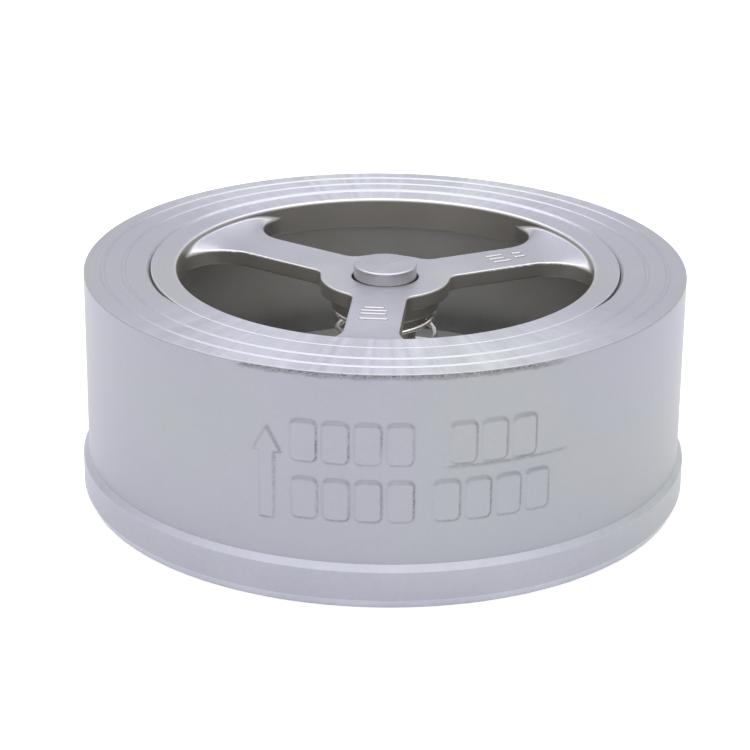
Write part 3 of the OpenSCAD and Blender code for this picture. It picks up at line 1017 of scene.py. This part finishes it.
def stem_nut():
    """A thin hexagon nut with chamfered corners, made as a lathe whose outer radius follows the hexagon."""
    half_flat = nut_high[1]
    corner_r = half_flat / math.cos(math.pi / 6)
    low, high = nut_low[2], nut_high[2]
    face_r = half_flat - NUT_CHAMFER_W
    bore = THREAD_R + 0.05
    angles = np.radians(np.arange(0, 360, 5))
    corners = [
        (bore, low + NUT_BORE_CHAMFER, 0, 0),
        (bore + NUT_BORE_CHAMFER, low, 0, 0),
        (face_r, low, 0, 0),
        (corner_r, low + NUT_CHAMFER_H, 0, 0),
        (corner_r, high - NUT_CHAMFER_H, 0, 0),
        (face_r, high, 0, 0),
        (bore + NUT_BORE_CHAMFER, high, 0, 0),
        (bore, high - NUT_BORE_CHAMFER, 0, 0),
    ]

    def hexagon(radius, height, around):
        from_flat = (around % (math.pi / 3)) - math.pi / 6
        edge = np.broadcast_to(half_flat / np.cos(from_flat), radius.shape)
        outer = radius > face_r + 0.01
        rise = (edge - face_r) * NUT_CHAMFER_H / (corner_r - face_r)
        lower = height < (low + high) / 2
        z = np.where(outer, np.where(lower, low + rise, high - rise), height)
        return np.where(outer, edge, radius), z

    return lathe("stem_nut_hex", corners, [plain], angles, shape=hexagon, sharp=25)


washer = lock_washer()
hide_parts("lock_washer")
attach(washer, "disc_assembly")

nut = stem_nut()
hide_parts("stem_nut")
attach(nut, "disc_assembly")

# ---------------------------------------------------------------- closing spring

WIRE_R = 0.6
ACTIVE_TURNS = 3
END_TURNS = 0.75
CLOSED_PITCH = 1.3
WIRE_START = math.radians(80)
WIRE_SIDES = 14
RINGS_PER_TURN = 60
# How far the coils between the ends lean, and shift, toward +X
LEAN = 0.85
SHIFT = 0.4


def closing_spring():
    """The wire, swept along its coils: END_TURNS closed turns at each end and open ones between."""
    low, high = spring_low[2] + WIRE_R, spring_high[2] - WIRE_R
    coil_r = spring_high[0] - WIRE_R
    count = ACTIVE_TURNS + 2 * END_TURNS
    turns = np.arange(round(count * RINGS_PER_TURN) + 1) / RINGS_PER_TURN
    active_pitch = (high - low - 2 * END_TURNS * CLOSED_PITCH) / ACTIVE_TURNS
    z = low + CLOSED_PITCH * np.minimum(turns, END_TURNS)
    z = z + active_pitch * np.clip(turns - END_TURNS, 0, ACTIVE_TURNS)
    z = z + CLOSED_PITCH * np.clip(turns - END_TURNS - ACTIVE_TURNS, 0, END_TURNS)
    around = WIRE_START + 2 * math.pi * turns
    out = np.stack([np.cos(around), np.sin(around), np.zeros_like(around)], 1)
    loose = ramp(np.minimum(turns, count - turns), END_TURNS, END_TURNS + 0.5)
    path = out * coil_r + np.array([0, 0, 1]) * (z + LEAN * loose * np.cos(around))[:, None]
    path[:, 0] += SHIFT * loose
    along = np.gradient(path, axis=0)
    along /= np.linalg.norm(along, axis=1, keepdims=True)
    up = np.cross(out, along)
    sides = 2 * math.pi * np.arange(WIRE_SIDES)[:, None] / WIRE_SIDES
    points = path[:, None] + WIRE_R * (np.cos(sides) * out[:, None] + np.sin(sides) * up[:, None])
    rows = len(turns)
    quads = grid_faces(rows, WIRE_SIDES, False, True)
    caps = [np.arange(WIRE_SIDES)[None, ::-1], (rows - 1) * WIRE_SIDES + np.arange(WIRE_SIDES)[None, :]]
    return mesh_object("closing_spring_wire", points.reshape(-1, 3), [quads, *caps], [wire], sharp=60)


spring = closing_spring()
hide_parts("closing_spring")
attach(spring, "valve")
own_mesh(spring)

# ---------------------------------------------------------------- floor, light and camera


FLOOR_SIZE = 6.0
FLOOR_GREYS = (0.90, 0.92)
FLOOR_SCALE = 3.0
FLOOR_GLOW = 0.3


def floor():
    """A plain pale floor."""
    size = FLOOR_SIZE
    corners = [(-size, -size, 0), (size, -size, 0), (size, size, 0), (-size, size, 0)]
    plane = bpy.data.meshes.new("floor")
    plane.from_pydata(corners, [], [(0, 1, 2, 3)])
    material = bpy.data.materials.new("floor_paper")
    g = Graph(material)
    shader = g.tree.nodes["Principled BSDF"]
    low, high = (rgba(grey, (1.0, 1.0, 1.0)) for grey in FLOOR_GREYS)
    g.put(shader.inputs["Base Color"], g.blend(g.noise(g.place(), FLOOR_SCALE), low, high))
    shader.inputs["Roughness"].default_value = 0.9
    shader.inputs["Specular IOR Level"].default_value = 0.2
    shader.inputs["Emission Color"].default_value = (1.0, 1.0, 1.0, 1.0)
    shader.inputs["Emission Strength"].default_value = FLOOR_GLOW
    plane.materials.append(material)
    made = bpy.data.objects.new("floor", plane)
    bpy.context.scene.collection.objects.link(made)


def softbox(name, place, aim, width, depth, power):
    """A white rectangular light at place, turned to aim; lengths in metres and power in watts."""
    light = bpy.data.lights.new(name, "AREA")
    light.shape = "RECTANGLE"
    light.size, light.size_y = width, depth
    light.energy = power
    made = bpy.data.objects.new(name, light)
    made.location = place
    made.rotation_euler = (Vector(aim) - Vector(place)).to_track_quat("-Z", "Y").to_euler()
    bpy.context.scene.collection.objects.link(made)


# Strengths of the light from the backdrop and the ceiling, and in front the shares of them that the room
# and the window give
BACKDROP, CEILING, ROOM, GLOW = 0.85, 0.6, 0.6, 2.2


def sky():
    """A pale backdrop with a dimmer ceiling; in front a dim room below and a window's glow above."""
    world = bpy.data.worlds.new("studio")
    g = Graph(world)
    _, ahead, up = g.split(g.node("ShaderNodeTexCoord").outputs["Generated"])
    in_front = g.spread(ahead, -0.8, -0.2, 1.0, 0.0)
    change = g.maths("SUBTRACT", g.spread(up, 0.15, 0.45, ROOM, GLOW), 1.0)
    share = g.maths("ADD", g.maths("MULTIPLY", in_front, change), 1.0)
    strength = g.maths("MULTIPLY", g.spread(up, 0.35, 0.6, BACKDROP, CEILING), share)
    g.put(g.tree.nodes["Background"].inputs["Strength"], strength)
    g.tree.nodes["Background"].inputs["Color"].default_value = (1, 1, 1, 1)
    bpy.context.scene.world = world


# The camera fitted to the photograph: metres in front of the valve's axis and above its outlet face
CAMERA_BACK, CAMERA_RISE = 0.5260, 0.1853
CAMERA_PITCH, CAMERA_YAW, CAMERA_ROLL = (math.radians(a) for a in (-21.893, -0.212, 0.633))
CAMERA_LENS = 123.9


def camera():
    """The scene's camera, placed as the one fitted to the photograph."""
    data = bpy.data.cameras.new("camera")
    data.sensor_width = 36.0
    data.lens = CAMERA_LENS
    data.clip_start, data.clip_end = 0.01, 50.0
    made = bpy.data.objects.new("camera", data)
    level = math.cos(CAMERA_PITCH)
    ahead = Vector((math.sin(CAMERA_YAW) * level, math.cos(CAMERA_YAW) * level, math.sin(CAMERA_PITCH)))
    right = ahead.cross(Vector((0, 0, 1))).normalized()
    up = right.cross(ahead)
    turned_right = right * math.cos(CAMERA_ROLL) + up * math.sin(CAMERA_ROLL)
    turned_up = up * math.cos(CAMERA_ROLL) - right * math.sin(CAMERA_ROLL)
    made.matrix_world = Matrix((turned_right, turned_up, -ahead)).transposed().to_4x4()
    made.location = (0, -CAMERA_BACK, OUTLET_Z * MM + CAMERA_RISE)
    bpy.context.scene.collection.objects.link(made)
    bpy.context.scene.camera = made


floor()
softbox("overhead", place=(-0.1, 0.15, 1.1), aim=(-0.1, 0.15, 0), width=2.3, depth=2.1, power=21.5)
sky()
camera()
bpy.context.scene.view_settings.view_transform = "Standard"
